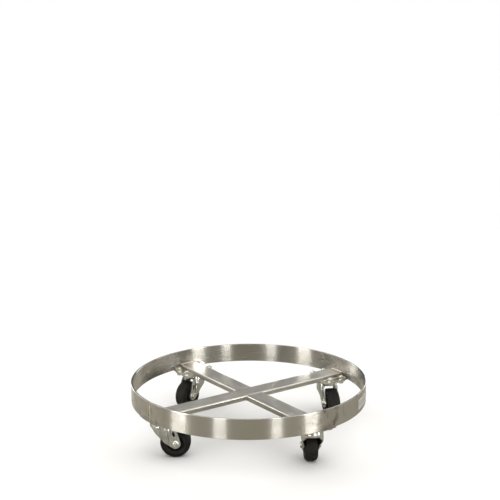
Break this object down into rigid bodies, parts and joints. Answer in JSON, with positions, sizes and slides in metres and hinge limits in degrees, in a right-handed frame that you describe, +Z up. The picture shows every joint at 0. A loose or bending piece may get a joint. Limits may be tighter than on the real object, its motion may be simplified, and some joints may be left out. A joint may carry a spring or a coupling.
{
  "type": "drum dolly",
  "caption": "Round brushed stainless drum dolly: a flat-bar ring with a welded channel cross inside it that a drum stands on, rolling on plate casters that swivel.",
  "frame": {"origin": "on the floor, under the middle of the ring", "axes": "+Z up, along the ring's axis; -Y is the front; the four swivel axes lie on the diagonals between X and Y"},
  "size_m": [0.6095, 0.6096, 0.1508],
  "materials": {
    "brushed_stainless": "circumferential brushed stainless, satin",
    "mill_stainless": "2B mill finish stainless, dull satin",
    "weld_metal": "rippled TIG bead with straw and blue heat tint",
    "label_foil": "blank satin foil label",
    "zinc_sheet": "bright zinc plate with a faint yellow passivation",
    "zinc_fastener": "bright zinc plated fastener",
    "race_steel": "hardened race steel, lightly greased",
    "ball_steel": "polished bearing balls",
    "bush_bronze": "sintered bronze, oiled",
    "wheel_core": "moulded black centre",
    "wheel_tyre": "moulded black hard rubber, lightly worn"
  },
  "bodies": {
    "root": {"ring_band": "brushed_stainless", "ring_seam_weld": "weld_metal", "cross_channel_long": "mill_stainless", "cross_channel_left": "mill_stainless", "cross_channel_right": "mill_stainless", "frame_welds": "weld_metal", "rating_label": "label_foil", "mount_bolts": "zinc_fastener", "mount_lock_washers": "zinc_fastener", "mount_nuts": "zinc_fastener", "caster_pad_front_left": "mill_stainless", "caster_plate_front_left": "zinc_sheet", "kingpin_front_left": "race_steel", "lower_race_cup_front_left": "race_steel", "caster_pad_front_right": "mill_stainless", "caster_plate_front_right": "zinc_sheet", "kingpin_front_right": "race_steel", "lower_race_cup_front_right": "race_steel", "caster_pad_rear_right": "mill_stainless", "caster_plate_rear_right": "zinc_sheet", "kingpin_rear_right": "race_steel", "lower_race_cup_rear_right": "race_steel", "caster_pad_rear_left": "mill_stainless", "caster_plate_rear_left": "zinc_sheet", "kingpin_rear_left": "race_steel", "lower_race_cup_rear_left": "race_steel"},
    "swivel_front_left": {"fork_front_left": "zinc_sheet", "swivel_balls_front_left": "ball_steel", "axle_bolt_front_left": "zinc_fastener", "axle_nut_front_left": "zinc_fastener", "axle_sleeve_front_left": "zinc_fastener"},
    "wheel_front_left": {"tyre_front_left": "wheel_tyre", "wheel_core_front_left": "wheel_core", "wheel_bush_front_left": "bush_bronze"},
    "swivel_front_right": {"fork_front_right": "zinc_sheet", "swivel_balls_front_right": "ball_steel", "axle_bolt_front_right": "zinc_fastener", "axle_nut_front_right": "zinc_fastener", "axle_sleeve_front_right": "zinc_fastener"},
    "wheel_front_right": {"tyre_front_right": "wheel_tyre", "wheel_core_front_right": "wheel_core", "wheel_bush_front_right": "bush_bronze"},
    "swivel_rear_right": {"fork_rear_right": "zinc_sheet", "swivel_balls_rear_right": "ball_steel", "axle_bolt_rear_right": "zinc_fastener", "axle_nut_rear_right": "zinc_fastener", "axle_sleeve_rear_right": "zinc_fastener"},
    "wheel_rear_right": {"tyre_rear_right": "wheel_tyre", "wheel_core_rear_right": "wheel_core", "wheel_bush_rear_right": "bush_bronze"},
    "swivel_rear_left": {"fork_rear_left": "zinc_sheet", "swivel_balls_rear_left": "ball_steel", "axle_bolt_rear_left": "zinc_fastener", "axle_nut_rear_left": "zinc_fastener", "axle_sleeve_rear_left": "zinc_fastener"},
    "wheel_rear_left": {"tyre_rear_left": "wheel_tyre", "wheel_core_rear_left": "wheel_core", "wheel_bush_rear_left": "bush_bronze"}
  },
  "joints": [
    {"name": "swivel_front_left_turn", "type": "hinge", "parent": "root", "child": "swivel_front_left", "pos_m": [-0.18738, -0.18738, 0.09], "axis": [0, 0, 1], "continuous": true},
    {"name": "wheel_front_left_spin", "type": "hinge", "parent": "swivel_front_left", "child": "wheel_front_left", "pos_m": [-0.15299, -0.18132, 0.0381], "axis": [-0.1736, 0.9848, 0], "continuous": true},
    {"name": "swivel_front_right_turn", "type": "hinge", "parent": "root", "child": "swivel_front_right", "pos_m": [0.18738, -0.18738, 0.09], "axis": [0, 0, 1], "continuous": true},
    {"name": "wheel_front_right_spin", "type": "hinge", "parent": "swivel_front_right", "child": "wheel_front_right", "pos_m": [0.17953, -0.15335, 0.0381], "axis": [-0.9744, -0.225, 0], "continuous": true},
    {"name": "swivel_rear_right_turn", "type": "hinge", "parent": "root", "child": "swivel_rear_right", "pos_m": [0.18738, 0.18738, 0.09], "axis": [0, 0, 1], "continuous": true},
    {"name": "wheel_rear_right_spin", "type": "hinge", "parent": "swivel_rear_right", "child": "wheel_rear_right", "pos_m": [0.20214, 0.15573, 0.0381], "axis": [0.9063, 0.4226, 0], "continuous": true},
    {"name": "swivel_rear_left_turn", "type": "hinge", "parent": "root", "child": "swivel_rear_left", "pos_m": [-0.18738, 0.18738, 0.09], "axis": [0, 0, 1], "continuous": true},
    {"name": "wheel_rear_left_spin", "type": "hinge", "parent": "swivel_rear_left", "child": "wheel_rear_left", "pos_m": [-0.20159, 0.15548, 0.0381], "axis": [0.9135, -0.4067, 0], "continuous": true}
  ]
}
